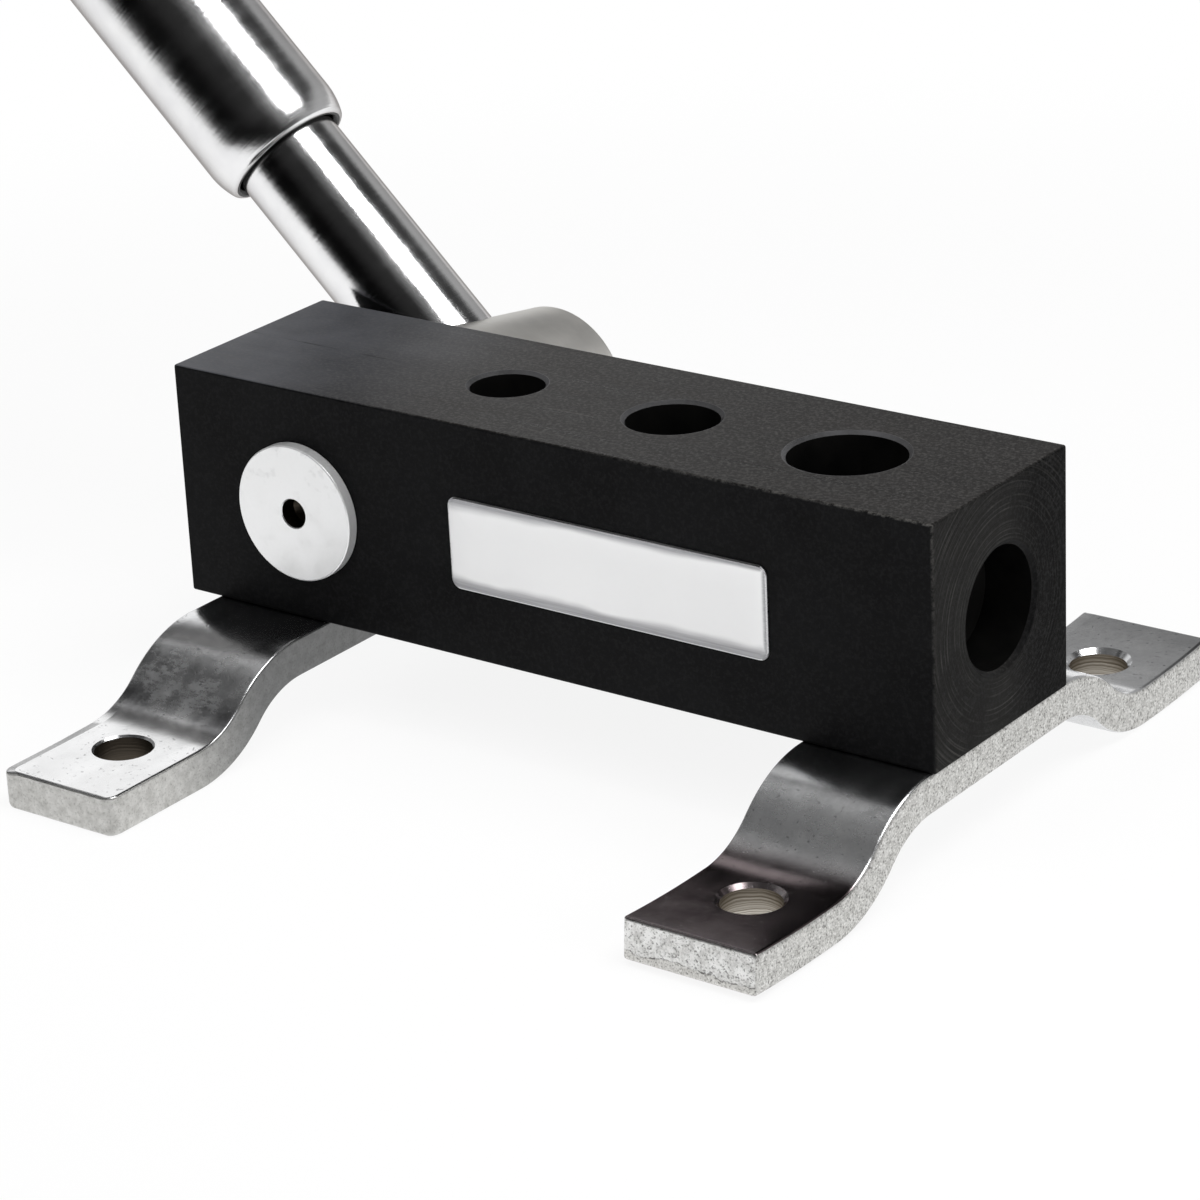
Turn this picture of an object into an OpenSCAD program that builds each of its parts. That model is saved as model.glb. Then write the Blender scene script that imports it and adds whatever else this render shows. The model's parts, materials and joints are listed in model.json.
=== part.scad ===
// Bench pipe notcher: a black block with three pipe holes, a sliding ram, a crank turned by a lever, on two bent straps.
// Millimetres. The origin is on the bench, midway between the right strap's foot holes.
// +X points to the bored end, +Y to the back, +Z up.

// Which piece to draw

/* [Block] */
// Length of the block along X
block_length = 209; // [204:1:224]
// Depth of the block along Y
block_depth = 55; // [52:1:60]
// Height of the block
block_height = 57; // [54:1:62]
// Chamfer on the four long edges
block_chamfer = 0.6; // [0.3:0.1:1.5]

/* [Pipe holes] */
// Bore of the smallest pipe hole
hole_small = 17.6; // [16:0.1:18.5]
// Bore of the middle pipe hole
hole_medium = 21.6; // [20:0.1:22.5]
// Bore of the largest pipe hole
hole_large = 26.9; // [25:0.1:27.2]
// Distance between neighbouring pipe holes
hole_pitch = 46.3; // [44:0.1:48]
// Distance from the block's right end to the largest hole
hole_end = 38.7; // [37:0.1:42]
// Chamfer around each pipe hole
hole_chamfer = 0.8; // [0.3:0.1:1.2]

/* [Ram] */
// Diameter of the ram's bore
ram_bore = 28; // [27.6:0.1:28.6]
// Height of the ram's axis above the block's bottom
bore_height = 28.4; // [27.6:0.1:29.4]
// How far the ram's end sits inside the block at rest
ram_recess = 12; // [10:0.5:16]
// Running clearance of the ram on each side
ram_fit = 0.05; // [0.02:0.01:0.09]
// Height of the pipe seats' floors above the block's bottom
seat_floor = 22; // [20:0.5:25]

/* [Crank] */
// Distance from the block's left end to the crank's axis
shaft_inset = 36.5; // [34.5:0.5:39]
// Height of the crank's axis above the block's bottom
shaft_height = 27.4; // [26.8:0.1:28.6]
// Diameter of the cross bore
cross_bore = 30; // [29.6:0.1:31]
// Running clearance of the journals on each side
shaft_fit = 0.04; // [0.02:0.01:0.09]
// Offset of the crank pin from the crank's axis
crank_throw = 8.2; // [7.4:0.1:8.4]
// Diameter of the roller
roller_d = 12; // [11:0.1:12.2]
// Diameter of the crank pin
pin_d = 8; // [7:0.1:8.6]
// Play of the roller in the ram's notch on each side
notch_play = 0.45; // [0.4:0.05:0.7]
// Diameter of the front disc
disc_d = 33.2; // [32.6:0.1:35]
// How far the disc stands out of the front face
disc_proud = 2.9; // [2:0.1:4]
// Diameter of the disc's centre hole
disc_hole = 7.4; // [5:0.1:8]

/* [Lever] */
// Angle of the lever above +X at rest, as photographed
lever_angle = 136.7; // [130:0.1:142]
// Diameter of the lever rod
rod_d = 28; // [26:0.1:28.4]
// Distance of the rod's axis behind the block
rod_back = 19.8; // [18.5:0.1:21]
// Distance of the rod's end from the crank's axis
rod_reach = 231; // [210:1:250]
// Diameter of the hub at its large end
hub_front_d = 51; // [48:0.5:52]
// Diameter of the hub at its small end
hub_back_d = 40; // [38.5:0.5:44]
// How far the hub reaches behind the block
hub_depth = 46; // [45.5:0.1:50]
// Diameter of the handle tube
tube_d = 37; // [34:0.1:38]
// Play between the rod and the tube on each side
tube_play = 0.5; // [0.35:0.05:0.8]
// Distance of the tube's lower end from the crank's axis
tube_start = 84; // [70:1:95]
// Length of the handle tube
tube_length = 335; // [300:5:380]

/* [Straps] */
// Thickness of the strap
strap_thick = 9.5; // [8:0.1:10.5]
// Width of the strap
strap_width = 33.4; // [30:0.1:34]
// Length of the strap from foot end to foot end
strap_length = 190; // [184:1:205]
// How far the foot sits below the strap's middle
strap_rise = 14.5; // [12.5:0.1:18]
// Length of the bend between the foot and the middle
bend_run = 37; // [34:0.5:39]
// Length of the flat foot
foot_flat = 30; // [29:0.5:31.5]
// Diameter of the foot hole
foot_hole = 13.5; // [11:0.1:15]
// Chamfer around the top of each foot hole
foot_chamfer = 0.8; // [0.3:0.1:1.2]
// Distance from the foot's end to its hole
foot_hole_inset = 23; // [18:0.5:23]
// Gap from the block's left end to the left strap
left_inset = 8.4; // [5:0.1:12]
// Gap from the block's right end to the right strap
right_inset = 0.9; // [0:0.1:6]
// How far the left strap sits forward of the block's middle
left_forward = 10; // [0:0.5:11]
// Distance between a strap's two bolts
bolt_pitch = 25; // [23:0.5:27]

/* [Plate] */
// Length of the name plate
plate_length = 86.7; // [70:0.1:90]
// Height of the name plate
plate_height = 22.3; // [18:0.1:26]
// Height of the plate's middle above the block's bottom
plate_mid = 28.3; // [24:0.1:32]
// Distance of the plate's middle right of the block's middle
plate_shift = 19.4; // [10:0.1:24]

/* [Hidden] */
$fn = 96;
over = 1;
ride = strap_thick + strap_rise;
front = -block_depth / 2;
back = block_depth / 2;
right_x = 0;
right_end = right_x + right_inset + strap_width / 2;
left_end = right_end - block_length;
mid_x = right_end - block_length / 2;
block_top = ride + block_height;
large_x = right_end - hole_end;
medium_x = large_x - hole_pitch;
small_x = medium_x - hole_pitch;
ram_z = ride + bore_height;
ram_r = ram_bore / 2 - ram_fit;
shaft_x = left_end + shaft_inset;
shaft_z = ride + shaft_height;
journal_r = cross_bore / 2 - shaft_fit;
journal_clear = 0.3;
journal_in = ram_bore / 2 + journal_clear;
journal_gap = 0.1;
pin_x = shaft_x + crank_throw * cos(lever_angle);
pin_z = shaft_z + crank_throw * sin(lever_angle);
pin_end = 22.2;
pin_end_gap = 0.1;
roller_half = 13;
ram_tail = 24;
ram_left = shaft_x - ram_tail;
ram_right = right_end - ram_recess;
ram_tail_gap = 0.2;
bore_left = ram_left - ram_tail_gap;
end_chamfer = 1;
notch_room = 0.6;
notch_floor = pin_z - roller_d / 2 - notch_room;
seat_play = 0.6;
seat_lead = 0.4;
seat_z = ride + seat_floor;
seat_relief = 15;
washer_t = 1.5;
washer_r = 22;
washer_room = 0.1;
hub_y = back + journal_gap + washer_t;
hub_end = back + hub_depth;
hub_round = 3;
hub_plain = 8;
hub_pocket_r = 13;
hub_pocket_gap = 0.4;
hub_washer_r = 12;
hub_washer_t = 2.4;
hub_washer_bore = 4.2;
rod_y = back + rod_back;
rod_r = rod_d / 2;
rod_foot = 10;
tenon_r = 8;
hub_pocket_depth = 9.5;
tenon_end = hub_end - hub_pocket_depth;
key_size = 5;
key_length = 20;
screw_r = 4;
screw_length = 18;
screw_spare = 2;
screw_hex = 13;
screw_head = 5.3;
disc_edge = 0.8;
disc_hole_depth = 5.5;
disc_sink = 0.9;
fit_gap = 0.02;
lock_pin_r = 3;
lock_pin_at = 15.5;
lock_pin_skin = 1;
lock_pin_inset = 0.5;
rod_chamfer = 2;
tube_in = rod_r + tube_play;
tube_r = tube_d / 2;
tube_end = tube_start + tube_length;
stop_gap = 0.2;
stop_t = 8;
tube_soft = 2;
cap_plug = 15;
cap_t = 3;
cap_chamfer = 1.5;
bolt_r = 4;
bolt_hex = 13;
bolt_head = 5.3;
bolt_bite = 10;
bolt_spare = 1.5;
bolt_fit = 0.05;
bolt_room = 0.5;
lock_t = 2;
lock_r = 7.4;
lock_gap = 0.2;
lock_split = 1.2;
spot_room = 1;
spot_depth = 3;
lock_z = ride - strap_thick + spot_depth - lock_t;
left_x = left_end + left_inset + strap_width / 2;
flat_half = strap_length / 2 - foot_flat - bend_run;
bend_angle = 2 * atan(strap_rise / bend_run);
bend_r = bend_run / (2 * sin(bend_angle));
bend_steps = 16;
left_corner = 3;
right_corner = 1;
plate_base = 0.7;
plate_face = 0.5;
plate_round = 2.5;
plate_rim = 1.2;
plate_rim_round = 1.5;

// Cylinder along +Y from y0 to y1
module along_y(x, z, y0, y1, r) {
    translate([x, y0, z]) rotate([-90, 0, 0]) cylinder(r = r, h = y1 - y0);
}

// Cone along +Y from y0 to y1
module cone_y(x, z, y0, y1, r0, r1) {
    translate([x, y0, z]) rotate([-90, 0, 0]) cylinder(r1 = r0, r2 = r1, h = y1 - y0);
}

// Cylinder along +X from x0 to x1
module along_x(x0, x1, z, r) {
    translate([x0, 0, z]) rotate([0, 90, 0]) cylinder(r = r, h = x1 - x0);
}

// Cone along +X from x0 to x1
module cone_x(x0, x1, z, r0, r1) {
    translate([x0, 0, z]) rotate([0, 90, 0]) cylinder(r1 = r0, r2 = r1, h = x1 - x0);
}

// Places a child with its +Z along the lever, the crank's axis at zero
module on_lever() {
    translate([shaft_x, rod_y, shaft_z]) rotate([0, 90 - lever_angle, 0]) children();
}

// Pipe hole in the block's top, down to the ram's axis
module pipe_hole(x, d) {
    translate([x, 0, ram_z]) cylinder(d = d, h = block_top - ram_z + over);
    translate([x, 0, block_top - hole_chamfer])
        cylinder(d1 = d, d2 = d + 2 * hole_chamfer + 2 * over, h = hole_chamfer + over);
}

// Place in Y of one of a strap's two bolts, by the strap's forward shift
function bolt_y(forward, side) = -forward / 2 + side * bolt_pitch / 2;

module bolt_hole(x, y) {
    translate([x, y, ride - over]) cylinder(r = bolt_r + bolt_fit, h = bolt_bite + bolt_spare + over);
}

module body_block() {
    c = block_chamfer;
    color([0.07, 0.07, 0.08])
    difference() {
        translate([left_end, 0, ride]) rotate([90, 0, 90]) linear_extrude(block_length)
            polygon([[front + c, 0], [back - c, 0], [back, c], [back, block_height - c],
                [back - c, block_height], [front + c, block_height], [front, block_height - c], [front, c]]);
        along_x(bore_left, right_end + over, ram_z, ram_bore / 2);
        cone_x(right_end - end_chamfer, right_end + over, ram_z, ram_bore / 2,
            ram_bore / 2 + end_chamfer + over);
        along_y(shaft_x, shaft_z, front - over, back + over, cross_bore / 2);
        pipe_hole(small_x, hole_small);
        pipe_hole(medium_x, hole_medium);
        pipe_hole(large_x, hole_large);
        bolt_hole(left_x, bolt_y(left_forward, -1));
        bolt_hole(left_x, bolt_y(left_forward, 1));
        bolt_hole(right_x, bolt_y(0, -1));
        bolt_hole(right_x, bolt_y(0, 1));
    }
}

// Rounded rectangle of exact arcs
module round_rect(w, h, r) {
    square([w - 2 * r, h], center = true);
    square([w, h - 2 * r], center = true);
    for (sx = [-1, 1], sy = [-1, 1])
        translate([sx * (w / 2 - r), sy * (h / 2 - r)]) circle(r);
}

module name_plate() {
    color([0.9, 0.9, 0.92])
    translate([mid_x + plate_shift, front, ride + plate_mid]) rotate([90, 0, 0]) {
        linear_extrude(plate_base) round_rect(plate_length, plate_height, plate_round);
        translate([0, 0, plate_base / 2]) linear_extrude(plate_base / 2 + plate_face)
            round_rect(plate_length - 2 * plate_rim, plate_height - 2 * plate_rim, plate_rim_round);
    }
}

// Points of an arc about a centre from angle a0 to a1, leaving out the first ones where an arc already ended there
function arc(cx, cy, r, a0, a1, first = 0) = [for (i = [first:bend_steps])
    let (a = a0 + (a1 - a0) * i / bend_steps) [cx + r * cos(a), cy + r * sin(a)]];

// One half of the strap's side view: over the top to the foot's end, and back underneath
function half_profile() = let (
    outer = bend_r + strap_thick / 2,
    inner = bend_r - strap_thick / 2,
    high = ride - strap_thick / 2 - bend_r,
    low = strap_thick / 2 + bend_r,
    far = flat_half + bend_run,
    end = strap_length / 2
) concat(
    arc(flat_half, high, outer, 90, 90 - bend_angle),
    arc(far, low, inner, 270 - bend_angle, 270, 1),
    [[end, strap_thick], [end, 0]],
    arc(far, low, outer, 270, 270 - bend_angle),
    arc(flat_half, high, inner, 90 - bend_angle, 90, 1)
);

module strap_profile() {
    half = half_profile();
    polygon(concat(half, [for (i = [len(half) - 1:-1:0]) [-half[i][0], half[i][1]]]));
}

// Hole through a foot, chamfered above
module foot_bore() {
    wide = foot_hole + 2 * foot_chamfer + 2 * over;
    translate([0, 0, -over]) cylinder(d = foot_hole, h = ride);
    translate([0, 0, strap_thick - foot_chamfer]) cylinder(d1 = foot_hole, d2 = wide, h = foot_chamfer + over);
}

// Strap with its foot holes, bolt holes and a sunk seat for each washer
module strap(x, forward, corner) {
    hole_y = strap_length / 2 - foot_hole_inset;
    translate([x, -forward, 0])
    difference() {
        intersection() {
            translate([-strap_width / 2, 0, 0]) rotate([90, 0, 90]) linear_extrude(strap_width)
                strap_profile();
            translate([0, 0, -over]) linear_extrude(ride + 2 * over)
                round_rect(strap_width, strap_length, corner);
        }
        for (s = [-1, 1]) translate([0, s * hole_y, 0]) foot_bore();
        for (s = [-1, 1]) translate([0, forward + bolt_y(forward, s), -over]) {
            cylinder(r = bolt_r + bolt_room, h = ride + 2 * over);
            cylinder(r = lock_r + spot_room, h = ride - strap_thick + spot_depth + over);
        }
    }
}

module left_strap() {
    color([0.75, 0.76, 0.78]) strap(left_x, left_forward, left_corner);
}

module right_strap() {
    color([0.75, 0.76, 0.78]) strap(right_x, 0, right_corner);
}

// Hex bolt from below, its head under the lock washer
module strap_bolt(x, y) {
    color([0.6, 0.61, 0.63])
    translate([x, y, 0]) {
        translate([0, 0, lock_z - bolt_head]) cylinder(d = bolt_hex / cos(30), h = bolt_head, $fn = 6);
        translate([0, 0, lock_z - over]) cylinder(r = bolt_r, h = ride + bolt_bite - lock_z + over);
    }
}

module lock_washer(x, y) {
    color([0.55, 0.56, 0.58])
    translate([x, y, lock_z])
    difference() {
        cylinder(r = lock_r, h = lock_t);
        translate([0, 0, -over]) cylinder(r = bolt_r + lock_gap, h = lock_t + 2 * over);
        translate([bolt_r - over, -lock_split / 2, -over]) cube([lock_r, lock_split, lock_t + 2 * over]);
    }
}

module left_bolt_front() {
    strap_bolt(left_x, bolt_y(left_forward, -1));
}

module left_bolt_back() {
    strap_bolt(left_x, bolt_y(left_forward, 1));
}

module right_bolt_front() {
    strap_bolt(right_x, bolt_y(0, -1));
}

module right_bolt_back() {
    strap_bolt(right_x, bolt_y(0, 1));
}

module left_lock_front() {
    lock_washer(left_x, bolt_y(left_forward, -1));
}

module left_lock_back() {
    lock_washer(left_x, bolt_y(left_forward, 1));
}

module right_lock_front() {
    lock_washer(right_x, bolt_y(0, -1));
}

module right_lock_back() {
    lock_washer(right_x, bolt_y(0, 1));
}

// Seat in the ram for a pipe's end, a little ahead of its hole so that the cutting wall starts near the pipe
module pipe_seat(x, d) {
    translate([x + seat_lead, 0, seat_z]) cylinder(d = d + 2 * seat_play, h = ram_bore);
}

module ram() {
    notch = roller_d + 2 * notch_play;
    color([0.62, 0.63, 0.65])
    difference() {
        union() {
            along_x(ram_left + end_chamfer, ram_right - end_chamfer, ram_z, ram_r);
            cone_x(ram_left, ram_left + end_chamfer, ram_z, ram_r - end_chamfer, ram_r);
            cone_x(ram_right - end_chamfer, ram_right, ram_z, ram_r, ram_r - end_chamfer);
        }
        translate([pin_x - notch / 2, -ram_bore, notch_floor]) cube([notch, 2 * ram_bore, ram_bore]);
        pipe_seat(small_x, hole_small);
        pipe_seat(medium_x, hole_medium);
        pipe_seat(large_x, hole_large);
        translate([large_x + seat_lead - seat_relief / 2, -ram_bore, seat_z])
            cube([seat_relief, 2 * ram_bore, ram_bore]);
    }
}

module drive_shaft() {
    color([0.6, 0.61, 0.63])
    difference() {
        union() {
            along_y(shaft_x, shaft_z, journal_in, back + journal_gap, journal_r);
            along_y(shaft_x, shaft_z, back, tenon_end, tenon_r);
        }
        along_y(pin_x, pin_z, journal_in - over, pin_end + pin_end_gap, pin_d / 2 + fit_gap);
        along_y(shaft_x, shaft_z, tenon_end - screw_length - screw_spare, tenon_end + over, screw_r + fit_gap);
        key_slot(tenon_r - key_size / 2);
    }
}

// Slot or solid of the feather key, opposite the rod, from radius r0 outward
module key_slot(r0) {
    on_lever() rotate([0, 180, 0])
        translate([-key_size / 2 - fit_gap, -key_length / 2 - fit_gap, r0 - fit_gap])
        cube([key_size + 2 * fit_gap, key_length + 2 * fit_gap, key_size + 2 * fit_gap]);
}

module hub_key() {
    color([0.5, 0.5, 0.52])
    on_lever() rotate([0, 180, 0]) translate([-key_size / 2, -key_length / 2, tenon_r - key_size / 2])
        cube([key_size, key_length, key_size]);
}

module front_disc() {
    face = front - journal_gap - disc_proud;
    color([0.88, 0.88, 0.9])
    difference() {
        union() {
            cone_y(shaft_x, shaft_z, face, face + disc_edge, disc_d / 2 - disc_edge, disc_d / 2);
            along_y(shaft_x, shaft_z, face + disc_edge, front - journal_gap, disc_d / 2);
            along_y(shaft_x, shaft_z, front - over, -journal_in, journal_r);
        }
        along_y(pin_x, pin_z, -pin_end - pin_end_gap, -journal_in + over, pin_d / 2 + fit_gap);
        along_y(shaft_x, shaft_z, face - over, face + disc_hole_depth, disc_hole / 2);
        cone_y(shaft_x, shaft_z, face - over, face + disc_sink, disc_hole / 2 + disc_sink + over, disc_hole / 2);
    }
}

module crank_pin() {
    color([0.55, 0.55, 0.58]) along_y(pin_x, pin_z, -pin_end, pin_end, pin_d / 2);
}

module crank_roller() {
    color([0.5, 0.5, 0.54])
    difference() {
        along_y(pin_x, pin_z, -roller_half, roller_half, roller_d / 2);
        along_y(pin_x, pin_z, -roller_half - over, roller_half + over, pin_d / 2 + shaft_fit);
    }
}

module thrust_washer() {
    color([0.66, 0.55, 0.3])
    difference() {
        along_y(shaft_x, shaft_z, back + journal_gap, hub_y, washer_r);
        along_y(shaft_x, shaft_z, back - over, hub_y + over, tenon_r + washer_room);
    }
}

module lever_hub() {
    r0 = hub_front_d / 2;
    r1 = hub_back_d / 2;
    color([0.6, 0.6, 0.62])
    difference() {
        union() {
            cone_y(shaft_x, shaft_z, hub_y, hub_y + end_chamfer, r0 - end_chamfer, r0);
            along_y(shaft_x, shaft_z, hub_y + end_chamfer, back + hub_plain, r0);
            cone_y(shaft_x, shaft_z, back + hub_plain, hub_end - hub_round, r0, r1);
            translate([shaft_x, hub_end - hub_round, shaft_z]) rotate([-90, 0, 0]) rotate_extrude() {
                square([r1 - hub_round, hub_round]);
                intersection() {
                    translate([r1 - hub_round, 0]) circle(hub_round);
                    translate([r1 - hub_round, 0]) square([hub_round, hub_round]);
                }
            }
        }
        along_y(shaft_x, shaft_z, hub_y - over, hub_end + over, tenon_r + fit_gap);
        along_y(shaft_x, shaft_z, tenon_end + hub_pocket_gap, hub_end + over, hub_pocket_r);
        on_lever() translate([0, 0, rod_foot]) cylinder(r = rod_r + fit_gap, h = hub_front_d);
        on_lever() translate([0, hub_y - rod_y - over, lock_pin_at]) rotate([-90, 0, 0])
            cylinder(r = lock_pin_r + fit_gap, h = rod_back + rod_r + over - lock_pin_skin);
        key_slot(tenon_r - key_size / 2);
    }
}

module hub_washer() {
    washer_top = tenon_end + hub_pocket_gap + hub_washer_t;
    color([0.7, 0.71, 0.73])
    difference() {
        along_y(shaft_x, shaft_z, tenon_end + hub_pocket_gap, washer_top, hub_washer_r);
        along_y(shaft_x, shaft_z, tenon_end, washer_top + over, hub_washer_bore);
    }
}

module hub_screw() {
    seat = tenon_end + hub_pocket_gap + hub_washer_t;
    color([0.35, 0.35, 0.37]) {
        translate([shaft_x, seat, shaft_z]) rotate([-90, 0, 0])
            cylinder(d = screw_hex / cos(30), h = screw_head, $fn = 6);
        along_y(shaft_x, shaft_z, tenon_end - screw_length, seat + over, screw_r);
    }
}

module lever_rod() {
    color([0.78, 0.79, 0.81])
    difference() {
        on_lever() {
            translate([0, 0, rod_foot]) cylinder(r = rod_r, h = rod_reach - rod_foot - rod_chamfer);
            translate([0, 0, rod_reach - rod_chamfer])
                cylinder(r1 = rod_r, r2 = rod_r - rod_chamfer, h = rod_chamfer);
        }
        on_lever() translate([0, -2 * rod_r, lock_pin_at]) rotate([-90, 0, 0])
            cylinder(r = lock_pin_r + fit_gap, h = 4 * rod_r);
    }
}

module rod_pin() {
    color([0.5, 0.5, 0.52])
    on_lever() translate([0, hub_y - rod_y + lock_pin_inset, lock_pin_at]) rotate([-90, 0, 0])
        cylinder(r = lock_pin_r, h = rod_back + rod_r - lock_pin_skin - 2 * lock_pin_inset);
}

module handle_tube() {
    soft = tube_soft;
    color([0.8, 0.81, 0.83])
    on_lever() difference() {
        union() {
            translate([0, 0, tube_start]) rotate_extrude() {
                translate([tube_in - over, 0]) square([tube_r - soft - tube_in + over, soft]);
                intersection() {
                    translate([tube_r - soft, soft]) circle(soft);
                    translate([tube_r - soft, 0]) square([soft, soft]);
                }
            }
            translate([0, 0, tube_start + soft]) cylinder(r = tube_r, h = tube_length - soft);
        }
        translate([0, 0, tube_start - over]) cylinder(r = tube_in, h = tube_length + 2 * over);
    }
}

module tube_stop() {
    color([0.55, 0.56, 0.58])
    on_lever() translate([0, 0, rod_reach + stop_gap]) cylinder(r = tube_in - fit_gap, h = stop_t);
}

module tube_cap() {
    color([0.1, 0.1, 0.1])
    on_lever() {
        translate([0, 0, tube_end - cap_plug]) cylinder(r = tube_in - fit_gap, h = cap_plug + over);
        translate([0, 0, tube_end]) cylinder(r = tube_r, h = cap_t);
        translate([0, 0, tube_end + cap_t]) cylinder(r1 = tube_r, r2 = tube_r - cap_chamfer, h = cap_chamfer);
    }
}

body_block();
name_plate();
left_strap();
right_strap();
left_bolt_front();
left_bolt_back();
right_bolt_front();
right_bolt_back();
left_lock_front();
left_lock_back();
right_lock_front();
right_lock_back();
ram();
drive_shaft();
front_disc();
crank_pin();
crank_roller();
thrust_washer();
lever_hub();
hub_key();
hub_washer();
hub_screw();
lever_rod();
rod_pin();
handle_tube();
tube_stop();
tube_cap();
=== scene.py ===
import json
import math

import bmesh
import bpy
from mathutils import Matrix, Vector


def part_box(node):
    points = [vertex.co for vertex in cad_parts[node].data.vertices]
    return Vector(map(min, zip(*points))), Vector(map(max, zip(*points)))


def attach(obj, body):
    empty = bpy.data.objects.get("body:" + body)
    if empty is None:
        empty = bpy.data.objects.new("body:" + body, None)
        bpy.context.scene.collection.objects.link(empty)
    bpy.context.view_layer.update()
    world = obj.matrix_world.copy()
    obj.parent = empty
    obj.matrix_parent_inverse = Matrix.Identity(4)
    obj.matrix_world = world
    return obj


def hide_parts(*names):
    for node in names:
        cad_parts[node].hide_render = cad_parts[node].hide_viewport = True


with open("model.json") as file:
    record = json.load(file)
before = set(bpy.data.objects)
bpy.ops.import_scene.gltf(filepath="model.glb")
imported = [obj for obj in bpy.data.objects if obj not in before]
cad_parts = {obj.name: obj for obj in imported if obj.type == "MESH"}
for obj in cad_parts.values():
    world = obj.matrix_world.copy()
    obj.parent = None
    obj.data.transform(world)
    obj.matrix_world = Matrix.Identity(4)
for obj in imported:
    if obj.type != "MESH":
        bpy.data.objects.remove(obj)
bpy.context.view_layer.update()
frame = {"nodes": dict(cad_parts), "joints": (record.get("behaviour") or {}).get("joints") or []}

# Shapes below are written in millimetres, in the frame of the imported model, and become metres in the mesh
MM = 0.001
FINE = 160
EASE = "SMOOTHSTEP"
JOINTS = {joint["name"]: joint for joint in frame["joints"]}


def box_mm(node):
    """Lowest and highest corner of a CAD node, in millimetres."""
    low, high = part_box(node)
    return low / MM, high / MM


# Places and sizes read from the frame
block_low, block_high = box_mm("body_block")
disc_low, disc_high = box_mm("front_disc")
plate_low, plate_high = box_mm("name_plate")
ram_low, ram_high = box_mm("ram")
hub_low, hub_high = box_mm("lever_hub")
front_y = block_low.y
back_y = block_high.y
ride = block_low.z
block_top = block_high.z
disc_r = (disc_high.z - disc_low.z) / 2
crank = Vector(((disc_low.x + disc_high.x) / 2, 0, (disc_low.z + disc_high.z) / 2))
ram_r = (ram_high.y - ram_low.y) / 2
ram_z = ram_low.z + ram_r
lever = Vector(JOINTS["handle_slide"]["axis"]).normalized()
pin = Vector(JOINTS["roller_turn"]["pos_m"]) / MM

# Sizes that the frame's boxes don't give
RAM_BORE_R = 14
CROSS_BORE_R = 15
PIPE_HOLES = ((-113.7, 17.6), (-67.4, 21.6), (-21.1, 26.9))
HOLE_CHAMFER = 0.8
SEAT_FLOOR = 46
FIT = 0.02
DISC_ROUND = 0.4
HUB_BORE_R = 8.02
HUB_END_R = 20
HUB_POCKET_R = 13
HUB_POCKET = 9.1
HUB_PLAIN = 8
ROD_Y = back_y + 19.8
ROD_R = 14
ROD_FOOT = 10
ROD_REACH = 231
TUBE_R = 18.5
TUBE_IN = 14.5
TUBE_START = 84
TUBE_END = 419
STRAP_THICK = 9.5
STRAP_RISE = 14.5
BEND_RUN = 37
FLAT_HALF = 28
FOOT_HOLE_R = 6.75
FOOT_HOLE_INSET = 23
BREAK_LINE = 3.3
STRAP_CORNERS = {"left_strap": 3.0, "right_strap": 1.0}
HOLE_CHAMFERS = {"left_strap": 0.5, "right_strap": 1.0}
TOE_LIFTS = {"left_strap": 0.0, "right_strap": 1.2}
TOE_SHARE = 1.2
EDGE_ROUNDS = {"left_strap": (1.2, 0.7), "right_strap": (0.7, 1.1)}
SHOULDER_RUN = 3.0
SHOULDER_DROPS = {"left_strap": 0.75, "right_strap": 0.05}
END_ROUND = 0.8
BOLT_PITCH = 25
BOLT_R = 4
BOLT_HEX = 13
LOCK_T = 2
LOCK_R = 7.4
SPOT_R = 8.4
SPOT_DEPTH = 3
LOCK_Z = ride - STRAP_THICK + SPOT_DEPTH - LOCK_T
SEAT_PLAY = 0.6
SEAT_LEAD = 0.4
SEAT_RELIEF = 15


# Mesh helpers

def rounded(points, steps=6, closed=False):
    """Outline through points (a, b, radius), each corner rounded by its own radius."""
    outline = []
    count = len(points)
    for i, (a, b, radius) in enumerate(points):
        here = Vector((a, b))
        at_end = not closed and i in (0, count - 1)
        if radius <= 0 or at_end:
            outline.append((a, b))
            continue
        before = (Vector(points[i - 1][:2]) - here).normalized()
        after = (Vector(points[(i + 1) % count][:2]) - here).normalized()
        half = before.angle(after) / 2
        centre = here + (before + after).normalized() * radius / math.sin(half)
        start = here + before * radius / math.tan(half) - centre
        turn = math.pi - 2 * half
        side = 1 if start.x * (-before.y) - start.y * (-before.x) > 0 else -1
        for k in range(steps + 1):
            angle = side * turn * k / steps
            x = start.x * math.cos(angle) - start.y * math.sin(angle)
            y = start.x * math.sin(angle) + start.y * math.cos(angle)
            outline.append((centre.x + x, centre.y + y))
    return outline


def lathe(profile, place, segments=FINE, closed=False):
    """Turned form: profile of (radius, height), about +Z, moved by the matrix place."""
    form = bmesh.new()
    rings = []
    for radius, height in profile:
        if radius < 1e-6:
            rings.append([form.verts.new((0, 0, height))])
            continue
        ring = []
        for k in range(segments):
            angle = 2 * math.pi * k / segments
            ring.append(form.verts.new((radius * math.cos(angle), radius * math.sin(angle), height)))
        rings.append(ring)
    pairs = list(zip(rings, rings[1:]))
    if closed:
        pairs.append((rings[-1], rings[0]))
    for lower, upper in pairs:
        bridge(form, lower, upper)
    bmesh.ops.recalc_face_normals(form, faces=form.faces)
    form.transform(place)
    return form


def bridge(form, lower, upper):
    """Faces between two rings, either of which may be a single point."""
    count = max(len(lower), len(upper))
    for k in range(count):
        n = (k + 1) % count
        if len(lower) == 1:
            form.faces.new((lower[0], upper[n], upper[k]))
        elif len(upper) == 1:
            form.faces.new((lower[k], lower[n], upper[0]))
        else:
            form.faces.new((lower[k], lower[n], upper[n], upper[k]))


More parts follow.
